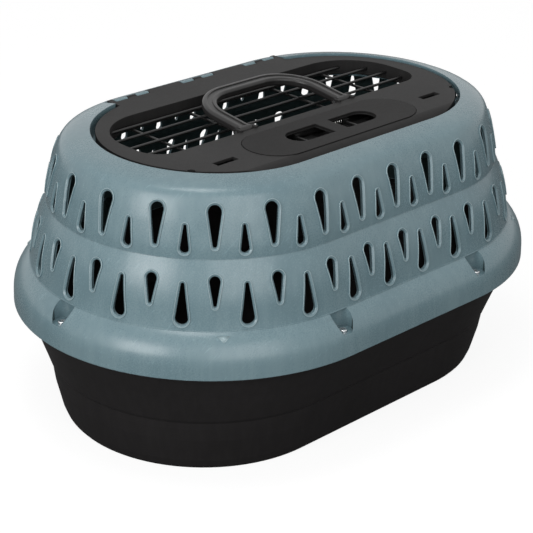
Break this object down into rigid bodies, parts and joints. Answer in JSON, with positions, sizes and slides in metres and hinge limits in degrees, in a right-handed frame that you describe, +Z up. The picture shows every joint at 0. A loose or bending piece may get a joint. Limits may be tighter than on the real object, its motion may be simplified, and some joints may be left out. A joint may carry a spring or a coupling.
{
  "type": "top-load pet carrier",
  "caption": "Oval top-load carrier for a small pet: base tub, vented cover, hinged lid with wire grille, pinch latch and folding bail handle.",
  "frame": {"origin": "bottom centre of the carrier, on the surface it stands on", "axes": "+Z up, +X along the long side, -Y towards the latch side, +Y towards the lid hinge"},
  "size_m": [0.4794, 0.3276, 0.253],
  "materials": {
    "base_plastic": "matte black moulded plastic",
    "cover_plastic": "grey-teal satin moulded plastic",
    "lid_plastic": "charcoal satin moulded plastic",
    "handle_plastic": "dark charcoal satin moulded plastic",
    "latch_plastic": "black moulded plastic",
    "coated_wire": "black coated steel wire",
    "spring_steel": "bright spring wire",
    "screw_steel": "zinc plated cross-head screw",
    "pin_steel": "steel pin"
  },
  "bodies": {
    "carrier": {"base_tub": "base_plastic", "cover_shell": "cover_plastic", "rim_screws": "screw_steel", "hinge_pin_left": "pin_steel", "hinge_pin_middle": "pin_steel", "hinge_pin_right": "pin_steel"},
    "lid": {"lid_frame": "lid_plastic", "lid_under_frame": "lid_plastic", "lid_screws": "screw_steel", "latch_panel": "lid_plastic", "grille_long_wires": "coated_wire", "grille_cross_wires": "coated_wire", "latch_spring": "spring_steel", "handle_pin_left": "pin_steel", "handle_pin_right": "pin_steel"},
    "handle": {"handle_bail": "handle_plastic"},
    "left_latch": {"latch_slider_left": "latch_plastic"},
    "right_latch": {"latch_slider_right": "latch_plastic"}
  },
  "joints": [
    {"name": "lid_hinge", "type": "hinge", "parent": "carrier", "child": "lid", "pos_m": [0, 0.104, 0.24], "axis": [-1, 0, 0], "range_deg": [0, 100]},
    {"name": "handle_pivot", "type": "hinge", "parent": "lid", "child": "handle", "pos_m": [0, -0.0175, 0.241], "axis": [1, 0, 0], "range_deg": [0, 83]},
    {"name": "left_latch_slide", "type": "slide", "parent": "lid", "child": "left_latch", "axis": [-1, 0, 0], "range_m": [0, 0.008], "deforming": ["latch_spring"]},
    {"name": "right_latch_slide", "type": "slide", "parent": "lid", "child": "right_latch", "axis": [1, 0, 0], "range_m": [0, 0.008]}
  ]
}
